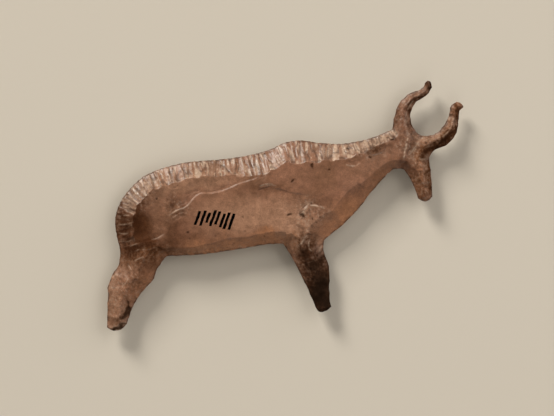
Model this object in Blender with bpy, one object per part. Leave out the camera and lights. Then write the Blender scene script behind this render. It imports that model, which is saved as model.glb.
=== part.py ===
"""Flint figurine of a horned animal, knapped flat from one piece of stone.

It lies on its reverse. X runs along the animal, from the hind foot to the tip of the
lower horn, Y from the feet to the back, and Z up through the thickness.

The outline is drawn in thousandths of the figure's length, clockwise as seen from above.
The height of either face at a point is the lower of two forms: the blank, which thickens
inwards from the edge and carries the low steps and the dish of the flat, and the scars of
the flakes that were struck off along the edge.
"""
import math
from collections import namedtuple

import bpy
import numpy as np
from mathutils.geometry import delaunay_2d_cdt

# Driving dimensions, in metres
FIGURE_LENGTH = 0.120          # back of the hind foot to the tip of the lower horn
BODY_THICKNESS = 0.009         # through the flat of the body
LEG_THICKNESS = 0.0064         # through the ridge of either leg, below the knee
HEAD_THICKNESS = 0.0062        # through the head and muzzle
HORN_THICKNESS = 0.0046        # through the ridge of either horn
THICKENING_RUN = 0.0009        # distance in from the edge over which the blank thickens
SHARP_EDGE = 0.0006            # thickness of the edge along back, belly, throat and legs
BLUNT_EDGE = 0.0022            # thickness of the edge round feet, muzzle and horn tips
BACK_FLAKE_WIDTH = 0.0018
BELLY_FLAKE_WIDTH = 0.0036
THROAT_FLAKE_WIDTH = 0.0050
CHEST_FLAKE_WIDTH = 0.0085
LEG_FLAKE_WIDTH = 0.0042
HORN_FLAKE_WIDTH = 0.0026
BLUNT_FLAKE_WIDTH = 0.0024
STEP_RISER = 0.0004            # width of the rise where a broken flake ends
LEAST_EDGE = 0.00015           # height of either face that is left at the very edge
LEAST_RISE = 0.2               # slope inwards from there that is always left

# How the flakes were struck
SCAR_SWEEP = 26.0              # how fast a scar steepens inwards, per metre
STRIKE_SPREAD = 8.0            # how far the blows turn from square to the edge, in degrees
WIDTH_SPREAD = 0.36            # share by which one flake is wider or narrower than the next
RISE_SPREAD = 0.12             # share by which one scar is steeper or flatter than the next
NICK_SPREAD = 0.7              # share by which one nick is deeper or shallower than the next
CLIFF = 3.0                    # slope of a scar behind its starting point and past its sides
SIDE_REACH = 0.85              # widths to either side of its middle where a scar's side starts
REVERSE_REACH = 0.72           # rise of the scars on the reverse, as a share of the shown ones

# Where the blank thins, in thousandths of the length
LEG_THINS = (190, 60)          # heights between which the legs thin downwards
HEAD_THINS = (660, 850)        # lengths between which neck and head thin forwards
HORNS_THIN = (440, 520)        # heights between which the horns thin upwards

# How finely the surface is drawn, in metres
EDGE_SPACING = 0.0009
FLAT_SPACING = 0.0027
FLAT_CLEARANCE = 0.0017        # from a point of the flat's grid to the points drawn before it
STEP_SPACING = 0.0013
STEP_CLEARANCE = 0.00036
DISH_CLEARANCE = 0.00065
SCAR_CLEARANCE = 0.0005
EDGE_CLEARANCE = 0.6           # share of those clearances that is kept from the outline
CUT_OFF = 0.00006              # how far a scar must stand above the surface to have ended
LONGEST_SCAR = 0.011           # no scar is followed further in than this
SCAR_SAMPLES = 44
SHARES = (1.0, 0.75, 0.5, 0.25)    # of a scar's length, and of the dish, that get points
KNOT_SPAN = 16                 # points from one knot of the outline to the next
STEP_SPAN = 6
END_PULL = 1.5                 # weight of the last chord in the direction of a line's end
BLEND_ROUNDS = 3               # how often the edge's thickness is smoothed along the outline

# width of a flake, depth of its scar between the ridges, nick in the edge, edge thickness
FlakeStyle = namedtuple("FlakeStyle", "width hollow nick edge")
STYLES = {
    "back": FlakeStyle(BACK_FLAKE_WIDTH, 0.00016, 0.00010, SHARP_EDGE),
    "belly": FlakeStyle(BELLY_FLAKE_WIDTH, 0.00012, 0.00009, SHARP_EDGE),
    "throat": FlakeStyle(THROAT_FLAKE_WIDTH, 0.00024, 0.00013, SHARP_EDGE),
    "chest": FlakeStyle(CHEST_FLAKE_WIDTH, 0.00030, 0.00016, SHARP_EDGE),
    "leg": FlakeStyle(LEG_FLAKE_WIDTH, 0.00022, 0.00015, SHARP_EDGE),
    "horn": FlakeStyle(HORN_FLAKE_WIDTH, 0.00018, 0.00013, SHARP_EDGE),
    "blunt": FlakeStyle(BLUNT_FLAKE_WIDTH, 0.00016, 0.00008, BLUNT_EDGE),
}

# name, style, rise of the scars in degrees from the stretch's start to its end, and knots
# in thousandths of the length; the knots share their ends, which are corners
OUTLINE = [
    ("hind leg back", "leg", (26, 26, 28), [(0, 12), (5, 62), (10, 117)]),
    ("hock", "leg", (28, 30), [(10, 117), (22, 146), (45, 178), (52, 222)]),
    ("back", "back", (30, 29, 30, 33, 33, 32, 33, 30, 21, 30, 20, 28, 37, 44, 46),
     [(52, 222), (46, 262), (48, 304), (66, 345), (90, 373), (130, 404), (180, 422),
      (250, 433), (340, 433), (421, 438), (476, 448), (517, 463), (558, 465), (610, 454),
      (664, 447), (717, 450), (770, 461), (806, 474)]),
    ("upper horn outside", "horn", (44, 46), [(806, 474), (814, 508), (830, 541), (860, 565),
                                              (894, 576), (903, 588)]),
    ("upper horn tip", "blunt", (55, 55), [(903, 588), (911, 595), (919, 590), (921, 575)]),
    ("upper horn inside", "horn", (46, 44), [(921, 575), (907, 556), (873, 537), (858, 507),
                                             (863, 472), (881, 450)]),
    ("lower horn inside", "horn", (44, 46), [(881, 450), (914, 450), (942, 470), (959, 497),
                                             (969, 524), (983, 531)]),
    ("lower horn tip", "blunt", (55, 55), [(983, 531), (994, 527), (1000, 516), (989, 507)]),
    ("lower horn outside", "horn", (46, 42), [(989, 507), (985, 484), (977, 450), (950, 420),
                                              (911, 405), (898, 390)]),
    ("muzzle front", "throat", (42, 46), [(898, 390), (899, 340), (897, 285)]),
    ("muzzle end", "blunt", (58, 58), [(897, 285), (885, 274), (869, 274), (858, 283)]),
    ("muzzle back", "throat", (46, 44), [(858, 283), (849, 317), (828, 362)]),
    ("throat arch", "horn", (46, 45, 44), [(828, 362), (805, 366), (777, 349)]),
    ("throat", "throat", (44, 42, 38), [(777, 349), (737, 311), (713, 285)]),
    ("chest", "chest", (34, 24, 20, 30), [(713, 285), (690, 260), (650, 228), (599, 194)]),
    ("foreleg front", "leg", (24, 30), [(599, 194), (595, 168), (605, 125), (606, 100),
                                        (602, 70), (602, 15)]),
    ("forefoot", "blunt", (56, 56), [(602, 15), (585, 4), (568, 4), (559, 20)]),
    ("foreleg back", "leg", (34, 36), [(559, 20), (545, 60), (519, 130), (503, 166),
                                       (488, 193)]),
    ("belly", "belly", (42, 50, 57), [(488, 193), (450, 195), (370, 189), (280, 184),
                                      (215, 185), (175, 187)]),
    ("hind leg front", "leg", (36, 36), [(175, 187), (153, 162), (133, 126), (106, 102),
                                         (82, 73), (62, 35)]),
    ("hind foot", "blunt", (50, 58), [(62, 35), (42, 5), (30, 1), (10, 4), (0, 12)]),
]

# Broken flakes on the flat of the shown face: drop in metres, reach in metres, and the
# line of the riser in thousandths; the lowered side lies to the left along the line
STEPS = [
    (0.00045, 0.0060, [(192, 294), (216, 307), (240, 313), (257, 330), (280, 345),
                       (305, 344), (340, 347), (385, 362), (430, 372), (497, 411)]),
    (0.00050, 0.0070, [(78, 221), (120, 230), (155, 234), (180, 250), (194, 275)]),
    (0.00030, 0.0050, [(610, 314), (560, 321), (520, 330), (485, 343), (430, 342)]),
    (0.00035, 0.0035, [(546, 258), (550, 278), (564, 288), (585, 286), (612, 280)]),
    (0.00045, 0.0020, [(852, 456), (847, 432), (839, 412), (828, 390)]),
]

# The dish on the rump of the shown face, one large scar that ends in a crease: depth in
# metres, then centre and half lengths in thousandths, and turn in degrees
DISH_DEPTH = 0.00085
DISH_CENTRE = (147, 296)
DISH_HALVES = (50, 78)
DISH_TURN = -9

SHOWN_SEED = 11
REVERSE_SEED = 29

FLINT_COLOUR = (0.212, 0.119, 0.066, 1)
FLINT_ROUGHNESS = 0.45


def smooth_line(knots, per_span=KNOT_SPAN):
    """Points on a smooth curve through the knots: cubic spans that share their tangents."""
    knots = np.asarray(knots, float) * (FIGURE_LENGTH / 1000)
    chord = np.linalg.norm(np.diff(knots, axis=0), axis=1)
    slope = np.diff(knots, axis=0) / chord[:, None]
    tangent = np.empty_like(knots)
    before, after = chord[:-1, None], chord[1:, None]
    tangent[1:-1] = (slope[1:] * before + slope[:-1] * after) / (before + after)
    tangent[0] = END_PULL * slope[0] - (END_PULL - 1) * tangent[1]
    tangent[-1] = END_PULL * slope[-1] - (END_PULL - 1) * tangent[-2]
    t = (np.arange(per_span) / per_span)[None, :, None]
    start, end = knots[:-1, None], knots[1:, None]
    pull = chord[:, None, None]
    leave, arrive = tangent[:-1, None] * pull, tangent[1:, None] * pull
    spans = ((2 * t**3 - 3 * t**2 + 1) * start + (t**3 - 2 * t**2 + t) * leave
             + (3 * t**2 - 2 * t**3) * end + (t**3 - t**2) * arrive)
    return np.vstack([spans.reshape(-1, 2), knots[-1:]])


class Line:
    """A polyline that is read by the distance along it."""

    def __init__(self, points):
        self.points = points
        self.along = np.concatenate([[0], np.cumsum(np.linalg.norm(np.diff(points, axis=0), axis=1))])
        self.length = self.along[-1]

    def at(self, distance):
        return np.column_stack([np.interp(distance, self.along, self.points[:, k]) for k in (0, 1)])

    def inward(self, distance, half):
        """Unit vectors square to the line, to the right of its run, where the figure lies."""
        ahead = self.at(np.minimum(distance + half, self.length))
        behind = self.at(np.maximum(distance - half, 0))
        run = ahead - behind
        run /= np.linalg.norm(run, axis=1)[:, None]
        return np.column_stack([run[:, 1], -run[:, 0]])


def turned(vectors, degrees):
    angle = np.radians(degrees)
    c, s = np.cos(angle), np.sin(angle)
    return np.column_stack([c * vectors[:, 0] - s * vectors[:, 1],
                            s * vectors[:, 0] + c * vectors[:, 1]])


def flakes_at(line, centres, widths, nicks, style, rises, rng, reach=1.0):
    """The flakes struck along one stretch of one face, as rows of numbers."""
    count = len(centres)
    struck = line.at(centres) + line.inward(centres, style.width / 2) * nicks[:, None]
    blow = turned(line.inward(centres, widths / 2), rng.uniform(-STRIKE_SPREAD, STRIKE_SPREAD, count))
    rise = np.interp(centres / line.length, np.linspace(0, 1, len(rises)), rises)
    slope = reach * np.tan(np.radians(rise)) * rng.uniform(1 - RISE_SPREAD, 1 + RISE_SPREAD, count)
    return np.column_stack([struck, blow, widths, slope,
                            np.full(count, style.edge / 2), np.full(count, style.hollow)])


def knapped_edge():
    """The outline with its nicks, its half thickness at each point, and both faces' flakes."""
    shown_rng, reverse_rng = np.random.default_rng(SHOWN_SEED), np.random.default_rng(REVERSE_SEED)
    points, halves, shown, reverse = [], [], [], []
    for name, style_name, rises, knots in OUTLINE:
        style = STYLES[style_name]
        line = Line(smooth_line(knots))
        count = max(1, round(line.length / style.width))
        widths = shown_rng.uniform(1 - WIDTH_SPREAD, 1 + WIDTH_SPREAD, count)
        widths *= line.length / widths.sum()
        starts = np.concatenate([[0], np.cumsum(widths)[:-1]])
        nicks = style.nick * shown_rng.uniform(1 - NICK_SPREAD, 1 + NICK_SPREAD, count)
        shown.append(flakes_at(line, starts + widths / 2, widths, nicks, style, rises, shown_rng))
        reverse.append(flakes_at(line, starts + widths, widths, np.zeros(count), style, rises,
                                 reverse_rng, REVERSE_REACH))
        steps = max(2, round(style.width / EDGE_SPACING))
        share = np.arange(steps) / steps
        along = (starts[:, None] + widths[:, None] * share).ravel()
        nick = (nicks[:, None] * 4 * share * (1 - share)).ravel()
        points.append(line.at(along) + line.inward(along, style.width / 2) * nick[:, None])
        halves.append(np.full(len(along), style.edge / 2))
    return np.vstack(points), smoothed(np.concatenate(halves)), np.vstack(shown), np.vstack(reverse)


def smoothed(values):
    """A closed run of values, each drawn towards its two neighbours."""
    for _ in range(BLEND_ROUNDS):
        values = (np.roll(values, 1) + 2 * values + np.roll(values, -1)) / 4
    return values


def nearest_on(line, points, closed=True):
    """Distance to a polyline, whether it is on the left, and the place along it by index."""
    starts = line if closed else line[:-1]
    run = (np.roll(line, -1, axis=0) if closed else line[1:]) - starts
    rel = points[:, None] - starts
    share = np.clip((rel * run).sum(2) / (run * run).sum(1), 0, 1)
    away = rel - share[..., None] * run
    distance = np.sqrt((away * away).sum(2))
    nearest = distance.argmin(1)
    row = np.arange(len(points))
    side = run[nearest, 0] * rel[row, nearest, 1] - run[nearest, 1] * rel[row, nearest, 0]
    return distance[row, nearest], side > 0, nearest + share[row, nearest]


def inside(points, outline):
    """Whether each point lies within the outline, by the edges crossed to its right."""
    x, y = points[:, :1], points[:, 1:]
    x0, y0 = outline.T
    x1, y1 = np.roll(outline, -1, axis=0).T
    spans = (y0 > y) != (y1 > y)
    rise = np.where(y1 == y0, 1.0, y1 - y0)
    return ((x < x0 + (y - y0) * (x1 - x0) / rise) & spans).sum(1) % 2 == 1


def scar_heights(points, flakes):
    """The lowest scar over each point: rising from the edge, and hollow from side to side."""
    px, py, dx, dy, width, slope, edge, hollow = flakes.T
    rel_x, rel_y = points[:, :1] - px, points[:, 1:] - py
    inward = rel_x * dx + rel_y * dy
    across = rel_y * dx - rel_x * dy
    rising = slope * inward + SCAR_SWEEP * inward**2
    side = CLIFF * np.clip(abs(across) - SIDE_REACH * width, 0, None)
    return (edge + hollow * (2 * across / width)**2 + side
            + np.where(inward > 0, rising, -CLIFF * inward)).min(1)


def step_drop(points):
    """How far the broken flakes lower the flat of the shown face."""
    total = np.zeros(len(points))
    for drop, reach, knots in STEPS:
        line = smooth_line(knots, STEP_SPAN)
        distance, left, place = nearest_on(line, points, closed=False)
        riser = np.clip(distance / STEP_RISER, 0, 1) * left
        fade = np.sqrt(np.abs(np.sin(np.pi * place / (len(line) - 1))))
        total = np.maximum(total, drop * riser * fade * np.exp(-(distance / reach)**2))
    return total


def dish_drop(points):
    """How far the dish lowers the flat of the shown face: a paraboloid within its crease."""
    away = turned(points * (1000 / FIGURE_LENGTH) - DISH_CENTRE, -DISH_TURN) / DISH_HALVES
    return DISH_DEPTH * np.clip(1 - (away * away).sum(1), 0, None)


def level(points):
    """Half the blank's full thickness: less towards the feet, the head and the horns."""
    x, y = (points * (1000 / FIGURE_LENGTH)).T
    legs = np.interp(y, LEG_THINS[::-1], (LEG_THICKNESS, BODY_THICKNESS))
    head = np.interp(x, HEAD_THINS, (BODY_THICKNESS, HEAD_THICKNESS))
    horns = head + (HORN_THICKNESS - head) * np.interp(y, HORNS_THIN, (0, 1))
    return np.minimum(legs, horns) / 2


class Face:
    """One face of the figure: its flakes, and the height of its surface above the middle."""

    def __init__(self, outline, halves, flakes, carved):
        self.outline, self.halves, self.flakes, self.carved = outline, halves, flakes, carved

    def heights(self, points):
        depth, _, place = nearest_on(self.outline, points)
        edge = np.interp(place, np.arange(len(self.halves) + 1), np.append(self.halves, self.halves[0]))
        flat = level(points)
        blank = edge + (flat - edge) * (1 - np.exp(-depth / THICKENING_RUN))
        if self.carved:
            blank = blank - step_drop(points) - dish_drop(points)
        height = np.minimum(blank, scar_heights(points, self.flakes))
        return np.maximum(height, LEAST_EDGE + LEAST_RISE * depth)

    def runs(self):
        """How far each scar reaches in before the blank or another scar cuts it off."""
        reach = np.linspace(EDGE_SPACING / 2, LONGEST_SCAR, SCAR_SAMPLES)
        start, blow = self.flakes[:, None, 0:2], self.flakes[:, None, 2:4]
        places = (start + blow * reach[None, :, None]).reshape(-1, 2)
        surface = self.heights(places).reshape(len(self.flakes), -1)
        scar = self.flakes[:, 6:7] + self.flakes[:, 5:6] * reach + SCAR_SWEEP * reach**2
        cut_off = scar > surface + CUT_OFF
        cut_off[:, -1] = True
        return reach[cut_off.argmax(1)]


def spread_out(groups, outline):
    """Keep points inside the outline, each no nearer than its own spacing to the ones before."""
    kept = np.empty((0, 2))
    for points, spacing in groups:
        depth = nearest_on(outline, points)[0]
        points = points[inside(points, outline) & (depth > EDGE_CLEARANCE * spacing)]
        for point in points:
            if not len(kept) or ((kept - point)**2).sum(1).min() > spacing**2:
                kept = np.vstack([kept, point])
    return kept


def surface_points(face, outline):
    """Points on a face where its form turns: steps, dish, valleys and ridges of the scars."""
    groups = []
    if face.carved:
        for _, _, knots in STEPS:
            line = Line(smooth_line(knots))
            along = np.linspace(0, line.length, max(3, round(line.length / STEP_SPACING)))
            rim = line.at(along)
            foot = rim - line.inward(along, STEP_SPACING) * STEP_RISER
            groups.append((np.vstack([rim, foot]), STEP_CLEARANCE))
        count = round(2 * math.pi * max(DISH_HALVES) * FIGURE_LENGTH / 1000 / STEP_SPACING)
        angle = np.linspace(0, 2 * math.pi, count, endpoint=False)
        crease = np.column_stack([np.cos(angle), np.sin(angle)]) * DISH_HALVES
        for share in SHARES:
            ring = (turned(crease * share, DISH_TURN) + DISH_CENTRE) * (FIGURE_LENGTH / 1000)
            groups.append((ring, DISH_CLEARANCE))
    runs = face.runs()
    start, blow, width = face.flakes[:, 0:2], face.flakes[:, 2:4], face.flakes[:, 4:5]
    sideways = np.column_stack([-blow[:, 1], blow[:, 0]]) * width / 2
    for share in SHARES:
        valley = start + blow * (runs * share)[:, None]
        groups.append((np.vstack([valley, valley + sideways]), SCAR_CLEARANCE))
    low, high = outline.min(0), outline.max(0)
    x = np.arange(low[0], high[0], FLAT_SPACING)
    y = np.arange(low[1], high[1], FLAT_SPACING * math.sqrt(0.75))
    grid_x, grid_y = np.meshgrid(x, y)
    grid_x[::2] += FLAT_SPACING / 2
    groups.append((np.column_stack([grid_x.ravel(), grid_y.ravel()]), FLAT_CLEARANCE))
    return spread_out(groups, outline)


def face_triangles(outline, inner):
    """Triangles over the outline and the points within it, anticlockwise from above."""
    points = np.vstack([outline, inner])
    ring = list(range(len(outline)))
    _, _, faces, origins, _, _ = delaunay_2d_cdt([tuple(p) for p in points], [], [ring], 1, 1e-9)
    triangles = np.array([[origins[v][0] for v in face] for face in faces])
    a, b, c = (points[triangles[:, k]] for k in range(3))
    turn = (b - a)[:, 0] * (c - a)[:, 1] - (b - a)[:, 1] * (c - a)[:, 0]
    triangles[turn < 0] = triangles[turn < 0][:, ::-1]
    return triangles


def figurine_mesh():
    """The closed mesh: the shown face, the reverse, and the rim between their outlines."""
    outline, halves, shown_flakes, reverse_flakes = knapped_edge()
    middle = BODY_THICKNESS / 2
    count = len(outline)
    vertices = [np.column_stack([outline, middle + halves]), np.column_stack([outline, middle - halves])]
    rim = [(k, (k + 1) % count, (k + 1) % count + count, k + count) for k in range(count)]
    faces = list(rim)
    base = 2 * count
    for flakes, up in ((shown_flakes, True), (reverse_flakes, False)):
        face = Face(outline, halves, flakes, carved=up)
        inner = surface_points(face, outline)
        heights = face.heights(inner)
        vertices.append(np.column_stack([inner, middle + heights if up else middle - heights]))
        triangles = face_triangles(outline, inner)
        ring_shift = 0 if up else count
        triangles = np.where(triangles < count, triangles + ring_shift, triangles - count + base)
        faces += [tuple(int(v) for v in (t if up else t[::-1])) for t in triangles]
        base += len(inner)
    vertices = np.vstack(vertices)
    centre = (outline.min(0) + outline.max(0)) / 2
    vertices[:, :2] -= centre
    mesh = bpy.data.meshes.new("figurine")
    mesh.from_pydata([tuple(v) for v in vertices], [], faces)
    mesh.validate()
    return mesh


def flint():
    """Knapped flint, brown with a dull waxy gloss."""
    material = bpy.data.materials.new("knapped_flint")
    material.use_nodes = True
    shader = material.node_tree.nodes["Principled BSDF"]
    shader.inputs["Base Color"].default_value = FLINT_COLOUR
    shader.inputs["Roughness"].default_value = FLINT_ROUGHNESS
    shader.inputs["Metallic"].default_value = 0.0
    return material


def main():
    for leftover in list(bpy.data.objects):
        bpy.data.objects.remove(leftover)
    collection = bpy.data.collections.new("flint animal figurine")
    bpy.context.scene.collection.children.link(collection)
    figurine = bpy.data.objects.new("figurine", figurine_mesh())
    figurine.data.materials.append(flint())
    collection.objects.link(figurine)


main()
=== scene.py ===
import bpy
import numpy as np
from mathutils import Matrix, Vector
from mathutils.geometry import delaunay_2d_cdt


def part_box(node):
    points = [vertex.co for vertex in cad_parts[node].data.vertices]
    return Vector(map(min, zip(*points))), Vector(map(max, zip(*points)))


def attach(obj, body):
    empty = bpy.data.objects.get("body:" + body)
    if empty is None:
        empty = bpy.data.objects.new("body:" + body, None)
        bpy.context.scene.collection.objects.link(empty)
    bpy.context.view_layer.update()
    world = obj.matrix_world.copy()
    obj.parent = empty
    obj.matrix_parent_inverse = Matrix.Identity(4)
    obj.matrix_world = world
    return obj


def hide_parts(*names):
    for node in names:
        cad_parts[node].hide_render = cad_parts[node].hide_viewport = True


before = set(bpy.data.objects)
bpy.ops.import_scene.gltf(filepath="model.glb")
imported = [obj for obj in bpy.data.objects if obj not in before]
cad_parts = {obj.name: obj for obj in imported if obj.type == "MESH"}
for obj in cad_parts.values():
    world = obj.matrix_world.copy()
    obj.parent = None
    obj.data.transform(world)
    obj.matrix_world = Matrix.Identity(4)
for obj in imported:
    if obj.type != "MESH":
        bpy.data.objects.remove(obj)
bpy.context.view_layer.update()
node = "figurine"
mm = 0.001
nodeLow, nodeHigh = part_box(node)

# the figure's own frame: thousandths of its length, from the hind foot and the line of the feet
figure = {
    "length": 0.120,              # back of the hind foot to the tip of the lower horn
    "bodyThickness": 0.009,       # through the flat of the body
    "legThickness": 0.0064,
    "headThickness": 0.0062,
    "hornThickness": 0.0046,
    "thickeningRun": 0.0009,      # distance from the edge over which the blank thickens
    "sharpEdge": 0.0006,
    "bluntEdge": 0.0022,
    "rimShare": 0.35,             # of the edge's thickness, left at the outline itself
    "rimRun": 0.8,                # half thicknesses of the edge over which it rounds up
    "rimSlope": 0.3,
    "legThins": (60, 190),        # thousandths between which the legs thicken upwards
    "headThins": (660, 850),      # between which neck and head thin forwards
    "hornsThin": (440, 520),
    "shownSeed": 11,
    "reverseSeed": 29,
    "toneSeed": 5,
    "retouchSeed": 2,             # added to the face's own
}

# width of a flake, depth of its scar, nick in the edge, thickness of the edge
flakeStyles = {
    "back": (0.0018, 0.00016, 0.00010, figure["sharpEdge"]),
    "belly": (0.0036, 0.00012, 0.00009, figure["sharpEdge"]),
    "throat": (0.0050, 0.00024, 0.00013, figure["sharpEdge"]),
    "chest": (0.0085, 0.00030, 0.00016, figure["sharpEdge"]),
    "leg": (0.0042, 0.00022, 0.00015, figure["sharpEdge"]),
    "horn": (0.0026, 0.00018, 0.00013, figure["sharpEdge"]),
    "blunt": (0.0024, 0.00016, 0.00008, figure["bluntEdge"]),
}

# style, rise of the scars in degrees along the stretch, knots in thousandths, clockwise
stretches = [
    ("leg", (26, 26, 28), [(0, 12), (5, 62), (10, 117)]),                # hind leg, back
    ("leg", (28, 30), [(10, 117), (22, 146), (45, 178), (52, 222)]),     # hock
    ("back", (30, 29, 30, 33, 33, 32, 33, 30, 21, 30, 20, 28, 37, 44, 46),  # rump, back, nape
     [(52, 222), (46, 262), (48, 304), (66, 345), (90, 373), (130, 404), (180, 422),
      (250, 433), (340, 433), (421, 438), (476, 448), (517, 463), (558, 465), (610, 454),
      (664, 447), (717, 450), (770, 461), (806, 474)]),
    ("horn", (44, 46), [(806, 474), (814, 508), (830, 541), (860, 565), (894, 576), (903, 588)]),
    ("blunt", (55, 55), [(903, 588), (911, 595), (919, 590), (921, 575)]),
    ("horn", (46, 44), [(921, 575), (907, 556), (873, 537), (858, 507), (863, 472), (881, 450)]),
    ("horn", (44, 46), [(881, 450), (914, 450), (942, 470), (959, 497), (969, 524), (983, 531)]),
    ("blunt", (55, 55), [(983, 531), (994, 527), (1000, 516), (989, 507)]),
    ("horn", (46, 42), [(989, 507), (985, 484), (977, 450), (950, 420), (911, 405), (898, 390)]),
    ("throat", (42, 46), [(898, 390), (899, 340), (897, 285)]),          # muzzle, front
    ("blunt", (58, 58), [(897, 285), (885, 274), (869, 274), (858, 283)]),
    ("throat", (46, 44), [(858, 283), (849, 317), (828, 362)]),          # muzzle, back
    ("horn", (46, 45, 44), [(828, 362), (805, 366), (777, 349)]),        # throat arch
    ("throat", (44, 42, 38), [(777, 349), (737, 311), (713, 285)]),
    ("chest", (34, 24, 20, 30), [(713, 285), (690, 260), (650, 228), (599, 194)]),
    ("leg", (24, 30), [(599, 194), (595, 168), (605, 125), (606, 100), (602, 70), (602, 15)]),
    ("blunt", (56, 56), [(602, 15), (585, 4), (568, 4), (559, 20)]),
    ("leg", (34, 36), [(559, 20), (545, 60), (519, 130), (503, 166), (488, 193)]),
    ("belly", (42, 50, 57), [(488, 193), (450, 195), (370, 189), (280, 184), (215, 185), (175, 187)]),
    ("leg", (36, 36), [(175, 187), (153, 162), (133, 126), (106, 102), (82, 73), (62, 35)]),
    ("blunt", (50, 58), [(62, 35), (42, 5), (30, 1), (10, 4), (0, 12)]),
]

strike = {
    "sweep": 26.0,                # how fast a scar steepens inwards, per metre
    "turn": 8.0,                  # spread of the blows, in degrees
    "widths": 0.36,
    "rises": 0.12,
    "nicks": 0.7,
    "cliff": 3.0,                 # slope behind the starting point of a scar and past its sides
    "sideReach": 0.85,            # widths from the middle of a scar to where its side starts
    "reverseReach": 0.72,         # share of a scar's slope on the reverse
}

# drop and reach in mm, line of the riser; the lowered side lies to the left along it
brokenFlakes = [
    (0.45, 6.0, [(192, 294), (216, 307), (240, 313), (257, 330), (280, 345),
                       (305, 344), (340, 347), (385, 362), (430, 372), (497, 411)]),
    (0.5, 7.0, [(78, 221), (120, 230), (155, 234), (180, 250), (194, 275)]),
    (0.3, 5.0, [(610, 314), (560, 321), (520, 330), (485, 343), (430, 342)]),
    (0.35, 3.5, [(546, 258), (550, 278), (564, 288), (585, 286), (612, 280)]),
    (0.45, 2.0, [(852, 456), (847, 432), (839, 412), (828, 390)]),
]

# the dish on the rump, one large scar that ends in a crease
rumpDish = {"depth": 0.00085, "centre": (147, 296), "halves": (50, 78), "turn": -9}

# smaller broken flakes, drawn only here: drop and reach in mm, line of the riser
smallSteps = [
    (0.22, 1.6, [(236, 336), (250, 345), (268, 351), (292, 361)]),
    (0.16, 1.2, [(172, 378), (190, 372), (212, 366), (236, 368)]),
    (0.3, 1.4, [(478, 352), (462, 350), (446, 349), (438, 345)]),
    (0.22, 2.0, [(430, 367), (448, 374), (462, 384), (476, 398)]),
    (0.2, 1.2, [(90, 187), (103, 190), (113, 192), (120, 200)]),
    (0.18, 1.0, [(76, 221), (86, 225), (98, 230)]),
    (0.22, 1.6, [(48, 125), (58, 129), (67, 137)]),
    (0.18, 1.4, [(20, 36), (30, 42), (36, 50)]),
    (0.2, 1.6, [(70, 176), (76, 168), (80, 157)]),
    (0.24, 2.2, [(784, 436), (776, 416), (756, 412), (732, 415)]),
    (0.12, 1.0, [(672, 393), (682, 387), (694, 385), (706, 388), (713, 394)]),
    (0.1, 0.8, [(676, 400), (688, 397), (700, 397), (708, 400)]),
    (0.24, 1.6, [(886, 440), (872, 424), (862, 404), (856, 388)]),
    (0.18, 1.4, [(858, 330), (868, 338), (880, 338), (890, 330)]),
    (0.2, 1.4, [(842, 372), (852, 380), (862, 380), (870, 372)]),
    (0.16, 1.2, [(500, 246), (508, 240), (518, 238)]),
    (0.16, 1.6, [(468, 285), (486, 284), (502, 279), (512, 272)]),
    (0.2, 1.4, [(545, 186), (556, 200), (562, 216)]),
    (0.22, 0.9, [(190, 301), (212, 314), (234, 322), (254, 338), (268, 348)]),
    (0.2, 0.9, [(198, 288), (218, 295), (240, 302), (258, 316)]),
    (0.18, 0.8, [(203, 280), (222, 285), (240, 292)]),
    (0.24, 1.4, [(194, 352), (203, 336), (205, 318), (198, 304)]),
    (0.2, 1.2, [(206, 360), (216, 344), (215, 326)]),
    (0.16, 1.0, [(300, 351), (322, 344), (344, 351), (366, 360)]),
    (0.12, 0.8, [(118, 214), (140, 218), (158, 220)]),
    (0.18, 1.4, [(96, 200), (112, 208), (136, 206)]),
    (0.14, 1.0, [(150, 214), (168, 208), (182, 212)]),
    (0.16, 1.0, [(868, 388), (878, 385), (890, 388)]),
    (0.14, 1.2, [(866, 360), (876, 356), (890, 360)]),
]

# grooves: depth and half width in mm, line
grooves = [
    (0.08, 1.2, [(866, 464), (861, 442), (856, 420), (850, 402), (842, 386)]),
    (0.14, 0.2, [(438, 354), (452, 356), (474, 354)]),
    (0.09, 0.2, [(430, 345), (455, 345), (480, 346)]),
    (0.1, 0.22, [(538, 262), (546, 272), (556, 284)]),
]

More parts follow.
